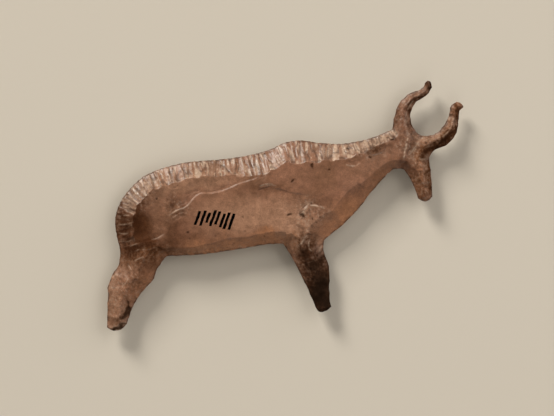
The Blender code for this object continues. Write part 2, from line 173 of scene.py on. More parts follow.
# scuffs and glints, thin whitish lines of crushed stone and painted highlight on lit risers and ridges: half
# width in mm, strength, line
scuffsAndGlints = [
    (0.26, 0.9, [(546, 266), (552, 279), (566, 289), (586, 287), (608, 277)]),
    (0.18, 0.55, [(528, 260), (545, 275), (560, 290), (576, 300)]),
    (0.16, 0.4, [(537, 254), (549, 268), (560, 282)]),
    (0.16, 0.4, [(536, 272), (552, 290), (572, 302)]),
    (0.22, 0.85, [(438, 351), (455, 355), (476, 354)]),
    (0.16, 0.4, [(452, 349), (468, 352), (484, 349)]),
    (0.18, 0.5, [(190, 293), (212, 306), (238, 314), (262, 334)]),
    (0.16, 0.35, [(196, 286), (218, 297), (240, 304)]),
    (0.28, 0.85, [(827, 388), (831, 404), (839, 430), (847, 460)]),
    (0.28, 0.7, [(838, 395), (852, 410), (866, 426), (880, 440)]),
    (0.22, 0.5, [(851, 386), (857, 404), (869, 431)]),
    (0.22, 0.38, [(878, 437), (910, 437), (943, 445), (960, 465), (968, 490)]),
    (0.2, 0.35, [(838, 480), (846, 510), (862, 538), (888, 560)]),
    (0.3, 0.35, [(866, 389), (879, 385), (895, 389)]),
    (0.26, 0.25, [(864, 372), (880, 368), (896, 371)]),
    (0.2, 0.45, [(70, 178), (76, 168), (80, 156)]),
    (0.2, 0.45, [(88, 181), (102, 188), (118, 192)]),
    (0.18, 0.4, [(48, 124), (58, 128), (68, 136)]),
    (0.22, 0.45, [(12, 119), (30, 116), (50, 119), (64, 129), (71, 142)]),
    (0.2, 0.36, [(16, 140), (30, 147), (46, 152)]),
    (0.26, 0.65, [(527, 184), (538, 192), (544, 202), (556, 214)]),
    (0.2, 0.6, [(561, 202), (556, 188), (558, 173), (567, 164)]),
    (0.22, 0.5, [(592, 182), (586, 172), (584, 160)]),
    (0.2, 0.5, [(590, 158), (600, 150)]),
    (0.24, 0.5, [(560, 94), (560, 108)]),
    (0.24, 0.35, [(549, 130), (557, 128)]),
    (0.24, 0.3, [(574, 126), (584, 128)]),
    (0.22, 0.6, [(519, 134), (524, 142)]),
    (0.18, 0.45, [(732, 411), (756, 409), (778, 416)]),
    (0.2, 0.62, [(672, 390), (690, 384), (712, 391)]),
    (0.16, 0.4, [(140, 236), (158, 239), (176, 249)]),
    (0.16, 0.3, [(80, 222), (92, 226), (108, 229)]),
    (0.18, 0.5, [(50, 303), (70, 306), (96, 304)]),
    (0.18, 0.4, [(49, 284), (74, 282), (98, 287)]),
    (0.18, 0.42, [(49, 262), (70, 257), (94, 262)]),
    (0.18, 0.34, [(52, 240), (74, 236), (96, 243)]),
    (0.18, 0.45, [(58, 322), (76, 327), (104, 318)]),
    (0.16, 0.3, [(90, 206), (104, 212), (128, 210), (150, 216)]),
]

# pits and specks: place, radius and depth in mm
pits = [
    (510, 271, 0.48, 0.34), (529, 358, 0.48, 0.34), (548, 264, 0.54, 0.38), (573, 292, 0.22, 0.16),
    (575, 253, 0.3, 0.22), (581, 241, 0.24, 0.16), (590, 258, 0.22, 0.16), (583, 394, 0.44, 0.3),
    (625, 380, 0.4, 0.18), (740, 403, 0.34, 0.18), (162, 342, 0.34, 0.24), (240, 245, 0.34, 0.22),
    (242, 230, 0.26, 0.18), (223, 375, 0.2, 0.14), (390, 275, 0.3, 0.14), (415, 276, 0.26, 0.12),
    (390, 237, 0.3, 0.12), (440, 220, 0.3, 0.14), (80, 230, 0.3, 0.18), (803, 445, 0.34, 0.24),
    (682, 432, 0.28, 0.2), (710, 416, 0.26, 0.18), (517, 410, 0.24, 0.14), (892, 428, 0.3, 0.18),
    (855, 452, 0.28, 0.18), (310, 232, 0.32, 0.1),
]

meshing = {
    "edgeSpacing": 0.00025,
    "shownSpacing": 0.00026,
    "reverseSpacing": 0.00034,
    "rimInset": 0.00010,          # ring of points just inside the outline
    "edgeBlends": 30,             # times the edge's thickness is averaged with its neighbours
    "jitter": 0.06,               # spacings by which a grid point strays
    "jitterSeed": 3,
    "clearOfRim": 0.5,            # spacings between that ring and the grid
    "coarseStep": 3,              # of the outline's points when that is looked up
    "chunk": 3000,                # points worked out at a time
}


def smoothLine(knots, perSpan=16):
    # cubic spans through the knots; each knot's tangent is the mean of the chords beside it,
    # weighted to the shorter one
    knots = np.asarray(knots, float) * (figure["length"] / 1000)
    chord = np.linalg.norm(np.diff(knots, axis=0), axis=1)
    slope = np.diff(knots, axis=0) / chord[:, None]
    tangent = np.empty_like(knots)
    before, after = chord[:-1, None], chord[1:, None]
    tangent[1:-1] = (slope[1:] * before + slope[:-1] * after) / (before + after)
    tangent[0] = 1.5 * slope[0] - 0.5 * tangent[1]
    tangent[-1] = 1.5 * slope[-1] - 0.5 * tangent[-2]
    t = (np.arange(perSpan) / perSpan)[None, :, None]
    start, end = knots[:-1, None], knots[1:, None]
    pull = chord[:, None, None]
    spans = ((2 * t**3 - 3 * t**2 + 1) * start + (t**3 - 2 * t**2 + t) * tangent[:-1, None] * pull
             + (3 * t**2 - 2 * t**3) * end + (t**3 - t**2) * tangent[1:, None] * pull)
    return np.vstack([spans.reshape(-1, 2), knots[-1:]])


def runOf(line):
    # distance travelled at each point of a line
    return np.concatenate([[0], np.cumsum(np.linalg.norm(np.diff(line, axis=0), axis=1))])


def along(line, distance):
    # the points of a line at the given distances along it
    run = runOf(line)
    return np.column_stack([np.interp(distance, run, line[:, k]) for k in (0, 1)])


def inwardOf(line, distance, half):
    # unit vector a quarter turn to the right of the chord between half behind and half ahead
    length = runOf(line)[-1]
    chord = along(line, np.minimum(distance + half, length)) - along(line, np.maximum(distance - half, 0))
    chord /= np.linalg.norm(chord, axis=1)[:, None]
    return np.column_stack([chord[:, 1], -chord[:, 0]])


def turned(vectors, degrees):
    # each vector turned anticlockwise: cos x - sin y, sin x + cos y
    angle = np.radians(degrees)
    x, y = vectors.T
    return np.column_stack([np.cos(angle) * x - np.sin(angle) * y, np.sin(angle) * x + np.cos(angle) * y])


def struckAlong(line, centres, widths, nicks, style, rises, rng, reach=1.0):
    # one row of numbers for each flake: place, direction, width, slope, half the edge, hollow,
    # and one where it belongs to the row along the back
    width, hollow, _, edge = flakeStyles[style]
    count = len(centres)
    place = along(line, centres) + inwardOf(line, centres, width / 2) * nicks[:, None]
    aim = rng.uniform(-strike["turn"], strike["turn"], count)
    blow = turned(inwardOf(line, centres, widths / 2), aim)
    rise = np.interp(centres / runOf(line)[-1], np.linspace(0, 1, len(rises)), rises)
    uneven = rng.uniform(1 - strike["rises"], 1 + strike["rises"], count)
    slope = reach * np.tan(np.radians(rise)) * uneven
    return np.column_stack([place, blow, widths, slope, np.full(count, edge / 2),
                            np.full(count, hollow), np.full(count, style == "back")])


def knappedEdge():
    # walk the stretches, cut each into flakes, and nick the edge by a parabola at each flake
    shownRng = np.random.default_rng(figure["shownSeed"])
    reverseRng = np.random.default_rng(figure["reverseSeed"])
    points, halves, shown, reverse = [], [], [], []
    for style, rises, knots in stretches:
        width, _, nickDepth, edge = flakeStyles[style]
        line = smoothLine(knots)
        length = runOf(line)[-1]
        count = max(1, round(length / width))
        widths = shownRng.uniform(1 - strike["widths"], 1 + strike["widths"], count)
        widths *= length / widths.sum()
        starts = np.concatenate([[0], np.cumsum(widths)[:-1]])
        nicks = nickDepth * shownRng.uniform(1 - strike["nicks"], 1 + strike["nicks"], count)
        shown.append(struckAlong(line, starts + widths / 2, widths, nicks, style, rises, shownRng))
        reverse.append(struckAlong(line, starts + widths, widths, np.zeros(count), style, rises,
                                   reverseRng, strike["reverseReach"]))
        steps = max(2, round(width / meshing["edgeSpacing"]))
        share = np.arange(steps) / steps
        distance = (starts[:, None] + widths[:, None] * share).ravel()
        nick = (nicks[:, None] * 4 * share * (1 - share)).ravel()
        points.append(along(line, distance) + inwardOf(line, distance, width / 2) * nick[:, None])
        halves.append(np.full(len(distance), edge / 2))
    halves = np.concatenate(halves)
    for _ in range(meshing["edgeBlends"]):
        halves = (np.roll(halves, 1) + 2 * halves + np.roll(halves, -1)) / 4
    outline, shown, reverse = np.vstack(points), np.vstack(shown), np.vstack(reverse)
    print("edge:", len(outline), "points,", len(shown), "flakes on each face")
    return outline, halves, shown, reverse


def nearestOn(line, points, closed=True):
    # distance to the nearest piece of a line, whether it lies to its left, and its place by index
    starts = line if closed else line[:-1]
    run = (np.roll(line, -1, axis=0) if closed else line[1:]) - starts
    distance, left, place = np.empty(len(points)), np.empty(len(points), bool), np.empty(len(points))
    for first in range(0, len(points), meshing["chunk"]):
        part = slice(first, first + meshing["chunk"])
        relX = points[part, :1] - starts[:, 0]
        relY = points[part, 1:] - starts[:, 1]
        share = np.clip((relX * run[:, 0] + relY * run[:, 1]) / (run * run).sum(1), 0, 1)
        away = (relX - share * run[:, 0])**2 + (relY - share * run[:, 1])**2
        best = away.argmin(1)
        row = np.arange(len(best))
        distance[part] = np.sqrt(away[row, best])
        left[part] = run[best, 0] * relY[row, best] - run[best, 1] * relX[row, best] > 0
        place[part] = best + share[row, best]
    return distance, left, place


def insideOf(outline, points):
    # a point is inside where a ray to its right crosses the outline an odd number of times
    x0, y0 = outline.T
    x1, y1 = np.roll(outline, -1, axis=0).T
    rise = np.where(y1 == y0, 1.0, y1 - y0)
    result = np.empty(len(points), bool)
    for first in range(0, len(points), meshing["chunk"]):
        part = slice(first, first + meshing["chunk"])
        x, y = points[part, :1], points[part, 1:]
        spans = (y0 > y) != (y1 > y)
        result[part] = ((x < x0 + (y - y0) * (x1 - x0) / rise) & spans).sum(1) % 2 == 1
    return result


def lowestScar(flakes, points, sweep):
    # each scar rises from the edge as slope * in + sweep * in squared, and is hollow from side
    # to side as the square of the way across; the lowest and the next lowest are kept, and
    # one less the cosine of the angle between their blows
    px, py, dx, dy, width, slope, edge, hollow = flakes.T[:8]
    lowest, second, facing = np.empty(len(points)), np.empty(len(points)), np.empty(len(points))
    winner, into, aside = np.empty(len(points), int), np.empty(len(points)), np.empty(len(points))
    for first in range(0, len(points), meshing["chunk"]):
        part = slice(first, first + meshing["chunk"])
        relX, relY = points[part, :1] - px, points[part, 1:] - py
        inward = relX * dx + relY * dy
        across = relY * dx - relX * dy
        rising = slope * inward + sweep * inward**2
        side = strike["cliff"] * np.clip(abs(across) - strike["sideReach"] * width, 0, None)
        scar = (edge + hollow * (2 * across / width)**2 + side
                + np.where(inward > 0, rising, -strike["cliff"] * inward))
        best, other = np.argpartition(scar, (0, 1), axis=1)[:, :2].T
        row = np.arange(len(best))
        lowest[part], second[part] = scar[row, best], scar[row, other]
        facing[part] = 1 - dx[best] * dx[other] - dy[best] * dy[other]
        winner[part] = best
        into[part], aside[part] = inward[row, best], across[row, best]
    return lowest, second, winner, into, aside, facing


def besideLine(points, knots, perSpan):
    # distance to a line, which side, and a fade that is the root of half a sine wave along it
    line = smoothLine(knots, perSpan)
    distance, left, place = nearestOn(line, points, closed=False)
    return distance, left, np.sqrt(np.abs(np.sin(np.pi * place / (len(line) - 1))))


def bellOf(values, width):
    # one at nought, and e to the power of minus the square of widths away
    return np.exp(-(values / width)**2)


def stepDrop(points, steps, width):
    # a broken flake lowers the flat beside its riser, and the drop dies away as a bell curve
    total = np.zeros(len(points))
    uneven = 1 - fine["stepUneven"] * np.clip(waves(points, "step"), 0, 1)
    for drop, reach, knots in steps:
        distance, left, fade = besideLine(points, knots, 6)
        riser = np.clip(distance / width, 0, 1) * left
        total = np.maximum(total, drop * mm * riser * fade * uneven * bellOf(distance, reach * mm))
    return total


def inEllipse(points, centre, halves, degrees):
    # squared distance from an ellipse's centre, one on its rim; it is given in thousandths
    own = turned(points * (1000 / figure["length"]) - centre, -degrees) / halves
    return (own * own).sum(1)


def dishDrop(points):
    # a paraboloid, depth times one minus the squared distance from its centre
    own = inEllipse(points, rumpDish["centre"], rumpDish["halves"], rumpDish["turn"])
    return rumpDish["depth"] * np.clip(1 - own, 0, None)


def grooveDrop(points):
    # a bell curve across each line, dying out towards both ends
    total = np.zeros(len(points))
    for depth, half, knots in grooves:
        distance, _, fade = besideLine(points, knots, 8)
        total += depth * mm * fade * bellOf(distance, half * mm)
    return total


def scuffGlintMark(points):
    # a bell curve across each line, broken up along it by waves: whitish crush and painted highlight
    total = np.zeros(len(points))
    patchy = np.clip(fine["scuffShare"] + fine["scuffUneven"] * waves(points, "scuff"), 0, 1)
    for half, strength, knots in scuffsAndGlints:
        distance, _, fade = besideLine(points, knots, 8)
        total = np.maximum(total, strength * fade * patchy * bellOf(distance, half * mm))
    return total


def pitDrop(points):
    # a bell curve round each pit
    total = np.zeros(len(points))
    for x, y, radius, depth in pits:
        away = points - np.array([x, y]) * (figure["length"] / 1000)
        total += depth * mm * np.exp(-(away * away).sum(1) / (radius * mm)**2)
    return total


# unevenness made of plane waves: mean wavelength, seed, number of waves
waveSets = {
    "swell": (0.013, 0, 14),
    "grain": (0.0021, 1, 24),
    "rough": (0.0026, 5, 22),
    "creasePatch": (0.0024, 6, 22),
    "crease": (0.0030, 7, 22),
    "streak": (0.0019, 8, 22),
    "crumbGlint": (0.0013, 9, 26),
    "rim": (0.0022, 10, 14),
    "bandCrumbGlint": (0.0019, 11, 22),
    "wander": (0.0034, 61, 14),
    "zone": (0.009, 71, 14),
    "zoneRim": (0.003, 73, 14),
    "step": (0.0052, 81, 14),
    "scuff": (0.0016, 91, 14),
}


def waves(points, name, seed=0):
    # the mean of plane waves in random directions, lengths within 30 % of the set's own
    length, ownSeed, count = waveSets[name]
    rng = np.random.default_rng(seed + ownSeed)
    angle = rng.uniform(0, 2 * np.pi, count)
    turns = 2 * np.pi / (length * rng.uniform(0.7, 1.3, count))
    phase = rng.uniform(0, 2 * np.pi, count)
    run = points[:, :1] * (np.cos(angle) * turns) + points[:, 1:] * (np.sin(angle) * turns)
    return np.sin(run + phase).sum(1) / np.sqrt(count / 2)


def strayed(points, name, distance):
    # points shifted by waves, along x by one seed and along y by the next
    return points + distance * np.column_stack([waves(points, name), waves(points, name, 1)])


def levelOf(points):
    # half the blank's full thickness, less towards the feet, the head and the horns
    x, y = (points * (1000 / figure["length"])).T
    legs = np.interp(y, figure["legThins"], (figure["legThickness"], figure["bodyThickness"]))
    head = np.interp(x, figure["headThins"], (figure["bodyThickness"], figure["headThickness"]))
    horns = head + (figure["hornThickness"] - head) * np.interp(y, figure["hornsThin"], (0, 1))
    return np.minimum(legs, horns) / 2


retouch = {
    "width": 0.0011,              # small flakes pressed off along the whole edge
    "share": 0.8,                 # of the places along the edge that lost one
    "widths": (0.7, 1.6),
    "rises": (6, 22),
    "sweep": 480.0,
    "hollow": 0.00006,
    "reach": 0.0020,
    "spread": 16,
}

fine = {
    "riser": 0.0004,
    "smallRiser": 0.00018,
    "stepUneven": 0.3,            # share of a step that its unevenness can take away
    "swell": 0.00006,             # slow waviness of the whole face
    "grain": 0.000014,
    "fadeIn": 0.001,              # distance from the outline over which the relief sets in
    "ripple": 0.000012,           # rings that run across a scar
    "rippleLength": 0.0011,
    "rippleShift": 7,             # periods by which one flake's rings can differ from another's
    "lance": 0.000020,            # fine ridges along a scar of the back
    "lanceLength": 0.00070,
    "lanceShift": 5,
    "lanceSpread": (0.7, 0.6),    # share of that length on the first flake, and what is added
    "wander": 0.00022,            # how far the small features stray from their drawn lines
    # width of the painted highlight along a ridge
    "ridgeWidth": 0.00005,
    "ridgeRound": 0.00006,        # gap between two meeting scars within which the ridge is worn
    "facingRound": 0.00026,       # added where they were struck towards each other
    "blankRound": 0.00009,        # the same gap where a scar meets the blank
    "reverseBroken": 0.4,         # how far the stone of the reverse broke up
    "rough": 0.000034,            # unevenness where the stone broke up
    "crease": 0.000055,           # thin creases between the crumbs
    "creaseWidth": 0.40,          # of the waves' usual height
    "creasePatch": 0.5,
    # painted shade in the creases
    "creaseDark": 0.35,
    "streak": 0.000080,           # creases that run in from the edge along the back
    "streakStretch": 0.28,
    # painted shade in the creases that run in along the back
    "streakDark": 0.66,
    "crumbGlintAbove": 1.1,            # height of the waves above which a crumb came off, pale and with a painted glint
    "bandCrumbGlintAbove": 0.5,
    "rim": 0.00038,               # painted shade along the serrated edge
    "rimDark": (0.6, 0.5),        # its mean strength and its unevenness
    "dentFull": 0.00016,          # depth from which a pit is wholly dark
    "scuff": 0.00004,
    "scuffShare": 0.8,
    "scuffUneven": 0.5,
    "clearOfFloor": 0.00002,      # nothing pokes through what it lies on
}


def retouchFlakes(outline, halves, seed):
    # one small flake to each width of the edge, less those that are missing
    line = np.vstack([outline, outline[:1]])
    length = runOf(line)[-1]
    rng = np.random.default_rng(seed)
    centres = np.arange(0.5, length / retouch["width"]) * retouch["width"]
    centres = centres[rng.uniform(0, 1, len(centres)) < retouch["share"]]
    count = len(centres)
    aim = rng.uniform(-retouch["spread"], retouch["spread"], count)
    blow = turned(inwardOf(line, centres, retouch["width"]), aim)
    edge = np.interp(centres, runOf(line), np.append(halves, halves[0]))
    widths = retouch["width"] * rng.uniform(*retouch["widths"], count)
    slope = np.tan(np.radians(rng.uniform(*retouch["rises"], count)))
    return np.column_stack([along(line, centres), blow, widths, slope, edge,
                            np.full(count, retouch["hollow"]), np.zeros(count)])


def wornRidge(scar, second, blank, facing):
    # the gap to what a scar meets next, and what wear takes off the ridge between them: half
    # the rounding times the square of one less the gap over twice the rounding
    onScar = scar < blank
    gap = np.where(onScar, np.minimum(second, blank) - scar, scar - blank)
    rounding = np.where(onScar & (second < blank), fine["ridgeRound"] + fine["facingRound"] * facing,
                        fine["blankRound"])
    return gap, np.clip(1 - gap / (2 * rounding), 0, 1)**2 * rounding / 2


def scarRipples(into, aside, tone, onScar, fresh):
    # a sine wave inwards along each scar, and a finer one across the scars of the back
    first, spread = fine["lanceSpread"]
    rings = into / fine["rippleLength"] + fine["rippleShift"] * tone
    ridges = aside / (fine["lanceLength"] * (first + spread * tone)) + fine["lanceShift"] * tone
    return (np.sin(2 * np.pi * rings) * fine["ripple"] * onScar
            + np.sin(2 * np.pi * ridges) * fine["lance"] * fresh)


def roundedEdge(height, depth, edge):
    # beside the outline the face is kept below a quarter ellipse over the edge's half thickness
    share, run = figure["rimShare"], figure["rimRun"] * edge
    climb = np.sqrt(np.clip(1 - (1 - np.clip(depth / run, 0, 1))**2, 0, 1))
    limit = edge * (share + (1 - share) * climb) + figure["rimSlope"] * depth
    return np.where(depth < run, np.minimum(height, limit), height)


def faceSurface(points, outline, halves, flakes, shown):
    # height above the middle: the lower of the blank, which climbs from the edge by one minus
    # an exponential, and the scars; then the finer relief is taken off
    seed = figure["shownSeed"] if shown else figure["reverseSeed"]
    depth, _, place = nearestOn(outline, points)
    edge = np.interp(place, np.arange(len(halves) + 1), np.append(halves, halves[0]))
    blank = edge + (levelOf(points) - edge) * (1 - np.exp(-depth / figure["thickeningRun"]))
    if shown:
        blank = blank - stepDrop(points, brokenFlakes, fine["riser"]) - dishDrop(points)
    scar, second, winner, into, aside, facing = lowestScar(flakes, points, strike["sweep"])
    gap, wear = wornRidge(scar, second, blank, facing)
    height = np.minimum(blank, scar) - wear

    # swell and grain all over, ripples on the scars, creases and crumbs where the stone broke up, with
    # painted shade in the creases, streaks and along the rim, and painted glints on the crumbs
    onScar = scar < blank
    fresh = onScar * flakes[winner, 8]
    tone = np.random.default_rng(figure["toneSeed"]).uniform(0, 1, len(flakes))[winner]
    fadeIn = np.clip(depth / fine["fadeIn"], 0, 1)
    broken = zoneMark(points, *zones["rough"]) if shown else np.full(len(points), fine["reverseBroken"])
    creases = bellOf(waves(points, "crease", seed), fine["creaseWidth"])
    creases *= np.clip(fine["creasePatch"] + waves(points, "creasePatch", seed), 0, 1)
    arc = np.interp(place, np.arange(len(outline) + 1), runOf(np.vstack([outline, outline[:1]])))
    inFromEdge = np.column_stack([arc, depth * fine["streakStretch"]])
    streaks = bellOf(waves(inFromEdge, "streak", seed), fine["creaseWidth"])
    height -= fadeIn * (scarRipples(into, aside, tone, onScar, fresh)
                        + fine["swell"] * (1 + waves(points, "swell", seed))
                        + fine["grain"] * (1 + waves(points, "grain", seed))
                        + fine["rough"] * (1 + waves(points, "rough", seed)) * broken
                        + fine["crease"] * creases * broken
                        + fine["streak"] * streaks * fresh)
    # pale crumbs, each with a painted glint
    crumbsAndGlints = np.clip(waves(points, "crumbGlint", seed) - fine["crumbGlintAbove"], 0, 1)
    crumbsAndGlints += fresh * np.clip(waves(inFromEdge, "bandCrumbGlint", seed) - fine["bandCrumbGlintAbove"], 0, 1)
    # painted shade along the rim, in the creases and in the streaks
    mean, uneven = fine["rimDark"]
    rim = bellOf(depth, fine["rim"]) * np.clip(mean + uneven * waves(inFromEdge, "rim", seed), 0, 1)
    dark = np.maximum(fine["creaseDark"] * broken * creases, fine["streakDark"] * fresh * streaks)

    # what was drawn, then the small flakes along the edge
    dent, scuffedGlint = np.zeros(len(points)), np.zeros(len(points))
    if shown:
        shifted = strayed(points, "wander", fine["wander"])
        dent = grooveDrop(shifted) + pitDrop(shifted)
        scuffedGlint = scuffGlintMark(points)
        height += fine["scuff"] * scuffedGlint - stepDrop(shifted, smallSteps, fine["smallRiser"]) - dent
    near = depth < retouch["reach"]
    pressed = retouchFlakes(outline, halves, seed + figure["retouchSeed"])
    small = lowestScar(pressed, points[near], retouch["sweep"])[0]
    height[near] = np.minimum(height[near], small)
    height = roundedEdge(height, depth, edge)
    height = np.minimum(height, figure["bodyThickness"] / 2 - fine["clearOfFloor"])
    return height, {
        # painted highlight along the ridges
        "ridge": np.exp(-gap / fine["ridgeWidth"]),
        "tone": tone,
        "fresh": fresh,
        "broken": broken,
        "crumbsAndGlints": crumbsAndGlints * np.maximum(broken, fresh),
        "dark": np.maximum(dark, rim),
        # pits and grooves darker the deeper they are: dark specks, and painted shade in them
        "dent": np.clip(dent / fine["dentFull"], 0, 1),
        "scuffedGlint": scuffedGlint,
    }


# zones of the shown face: how sharp their rims are, then centre, half lengths, turn and
# strength of each, in thousandths and degrees
zones = {
    # dark patina, and painted shade on facets and edges turned from the light and below risers
    "patinaAndShade": (1.1, [
        (70, 270, 36, 62, 4, 0.86), (110, 216, 78, 24, 4, 0.72), (116, 172, 38, 40, 28, 0.36),
        (96, 118, 30, 58, -33, 0.22), (172, 200, 40, 18, 10, 0.4), (200, 250, 34, 40, 20, 0.3),
        (204, 330, 14, 30, 0, 0.35), (250, 225, 90, 42, 4, 0.15), (440, 212, 50, 15, 0, 0.15),
        (300, 380, 90, 12, 8, 0.25), (756, 346, 58, 20, 42, 0.15), (826, 378, 22, 14, 0, 0.4),
        (547, 172, 30, 36, -15, 0.96), (567, 138, 32, 18, 0, 0.92), (545, 80, 16, 66, 15, 0.78),
        (660, 236, 60, 10, 38, 0.2), (916, 411, 44, 14, 18, 0.85), (955, 438, 32, 13, 40, 0.85),
        (978, 478, 12, 40, -12, 0.9), (986, 516, 18, 16, 0, 0.7), (914, 584, 16, 16, 0, 0.95),
        (857, 498, 9, 36, 0, 0.92), (869, 536, 20, 8, 45, 0.92), (893, 555, 22, 8, 34, 0.92),
        (894, 340, 10, 64, 0, 0.7), (850, 428, 8, 26, -30, 0.18), (882, 410, 13, 20, -20, 0.28),
        (872, 330, 30, 50, 0, 0.28), (836, 512, 14, 34, -10, 0.24), (826, 455, 14, 26, 0, 0.16),
        (850, 490, 24, 24, 0, 0.12), (955, 440, 40, 30, 40, 0.38), (235, 270, 36, 40, 0, 0.1),
        (880, 290, 26, 12, 0, 0.45), (755, 424, 34, 6, 8, 0.55), (806, 445, 8, 7, 0, 0.6),
        (812, 505, 7, 34, -14, 0.4), (690, 392, 26, 5, 0, 0.25), (590, 300, 24, 10, 0, 0.25),
        (470, 350, 30, 8, 0, 0.25),
    ]),
    # patina in the rump's dish, and painted shade on its upper left wall
    "bowl": (1.0, [
        (84, 292, 54, 100, -10, 0.66), (118, 300, 92, 104, 0, 0.34),
    ]),
    "soot": (1.7, [
        (583, 52, 47, 112, 7, 1.0), (55, 54, 10, 32, -24, 0.84), (30, 4, 36, 7, 4, 0.8),
        (548, 30, 20, 40, 12, 0.8), (914, 588, 13, 12, 0, 0.6), (38, 34, 8, 18, -30, 0.45),
        (544, 170, 18, 26, 0, 0.52), (564, 132, 20, 14, 0, 0.5),
    ]),
    # paler stone of the fresh flakes, and painted highlight where the back, risers and ridges face the light
    "paleAndHighlight": (1.4, [
        (140, 385, 46, 22, 35, 0.78), (95, 348, 18, 26, -20, 0.75), (260, 410, 90, 22, 2, 0.36),
        (430, 415, 70, 22, 18, 0.06), (560, 436, 60, 26, 0, 0.12), (690, 432, 80, 16, 0, 0.66),
        (745, 446, 40, 18, 12, 0.95), (848, 545, 22, 12, 48, 0.3), (942, 466, 30, 8, 42, 0.7),
        (957, 495, 8, 24, -14, 0.6), (888, 566, 24, 8, 25, 0.2), (775, 452, 40, 14, 22, 0.95),
        (800, 462, 20, 14, 0, 0.8), (30, 145, 16, 36, -20, 0.2), (212, 300, 26, 8, 24, 0.55),
        (545, 268, 14, 20, -35, 0.45), (866, 424, 8, 28, -30, 0.6), (20, 70, 14, 50, 0, 0.22),
        (300, 347, 70, 5, 8, 0.3), (455, 390, 46, 9, 40, 0.4), (570, 286, 34, 6, 0, 0.4),
        (910, 444, 36, 6, 8, 0.4), (490, 412, 16, 10, 20, 0.7), (545, 215, 12, 26, -24, 0.25),
        (876, 386, 16, 8, 0, 0.45), (760, 408, 30, 5, 8, 0.4),
    ]),
    # the stone's warmer brown, and painted fill light on facets turned from the key light
    "warmAndFillLight": (1.4, [
        (590, 368, 120, 52, 0, 0.12), (740, 380, 70, 40, 20, 0.16), (850, 420, 60, 50, 0, 0.16),
        (430, 272, 130, 42, 4, 0.75), (520, 240, 76, 50, 0, 0.75), (340, 300, 90, 40, 0, 0.5),
        (270, 376, 120, 26, 2, 0.8), (170, 350, 40, 40, 0, 0.5), (500, 190, 40, 30, 0, 0.6),
        (920, 440, 50, 22, 10, 0.4), (590, 176, 14, 22, 10, 0.5), (22, 100, 30, 96, 4, 0.5),
        (60, 170, 50, 36, 0, 0.35), (175, 285, 34, 50, -10, 0.3),
    ]),
    # redder stone, and painted fill light on the belly, chest, throat, muzzle and hind leg
    "ruddyAndFillLight": (1.4, [
        (330, 197, 175, 24, 1, 1.0), (450, 206, 60, 20, 2, 0.9), (655, 248, 84, 32, 38, 0.9),
        (762, 344, 60, 22, 42, 0.4), (876, 330, 34, 66, 0, 0.45), (960, 440, 56, 50, 0, 0.4),
        (872, 396, 14, 28, -10, 0.7), (110, 120, 40, 60, -33, 0.6), (985, 516, 20, 20, 0, 0.6),
        (130, 196, 80, 22, 4, 0.4),
    ]),
    "rough": (1.6, [
        (52, 100, 74, 110, -20, 0.52), (556, 100, 66, 116, 8, 0.58), (870, 330, 52, 66, 0, 0.7),
        (868, 520, 70, 84, 0, 0.75), (950, 470, 66, 84, 0, 0.75), (130, 205, 80, 26, 4, 0.45),
        (212, 318, 34, 34, 20, 0.55), (566, 272, 46, 36, 0, 0.6), (110, 370, 60, 50, 40, 0.7),
        (860, 420, 50, 44, 0, 0.55), (756, 420, 60, 16, 8, 0.5), (540, 215, 26, 40, 0, 0.5),
        (330, 193, 170, 12, 1, 0.5), (60, 280, 34, 70, 0, 0.4),
    ]),
}


zoneStray = {"zone": 0.0006, "zoneRim": 0.0003}    # how far each set of waves shifts the zones


def zoneMark(points, sharpness, listed):
    # one less the product of what each zone leaves, each a flat topped bell with a wavy rim
    for name, distance in zoneStray.items():
        points = strayed(points, name, distance)
    rest = np.ones(len(points))
    for x, y, halfX, halfY, degrees, strength in listed:
        rest *= 1 - strength * np.exp(-inEllipse(points, (x, y), (halfX, halfY), degrees)**sharpness)
    return 1 - rest


# how much of each mark of the relief shows in the colour
showing = {
    "paleOffBand": 0.28,          # share of the pale skin and painted highlight that shows beside the row of the back
    "paleFlakes": (0.4, 0.9),     # on its darkest flake, and what is added up to its palest
    "lit": 0.16,
    # painted highlight along the ridges, more on the pale flakes
    "ridge": 0.06,
    "paleRidge": 0.30,
    "crumbsAndGlints": 0.60,
    # dark specks, and painted shade in pits and grooves
    "dent": 0.8,
}


def colourMarks(relief, zone):
    # what each layer of the colour is mixed in by, from the marks of the relief and the zones; the pale skin
    # and a painted highlight show on the small flakes of the back, more on some than on others, painted
    # glints on ridges, crumbs and scuffs, and painted shade in creases, pits and along the rim
    off, (least, added) = showing["paleOffBand"], showing["paleFlakes"]
    ridge = relief["ridge"] * (showing["ridge"] + showing["paleRidge"] * zone["paleAndHighlight"])
    crumbsAndGlints = showing["crumbsAndGlints"] * relief["crumbsAndGlints"] * (1 - zone["patinaAndShade"])**2
    return {
        "paleAndHighlight": zone["paleAndHighlight"] * (off + (1 - off) * relief["fresh"]) * (least + added * relief["tone"]),
        "lit": showing["lit"] * relief["tone"] * relief["fresh"],
        "wearAndGlint": np.maximum(relief["scuffedGlint"], ridge + crumbsAndGlints),
        "dark": np.clip(relief["dark"], 0, 1),
        "dent": showing["dent"] * relief["dent"],
        "fresh": relief["fresh"],
        "patinaAndShade": 1 - (1 - zone["patinaAndShade"]) * (1 - zone["bowl"] * (1 - relief["fresh"])),
        "soot": zone["soot"],
        "warmAndFillLight": zone["warmAndFillLight"],
        "ruddyAndFillLight": zone["ruddyAndFillLight"],
        "broken": relief["broken"],
    }


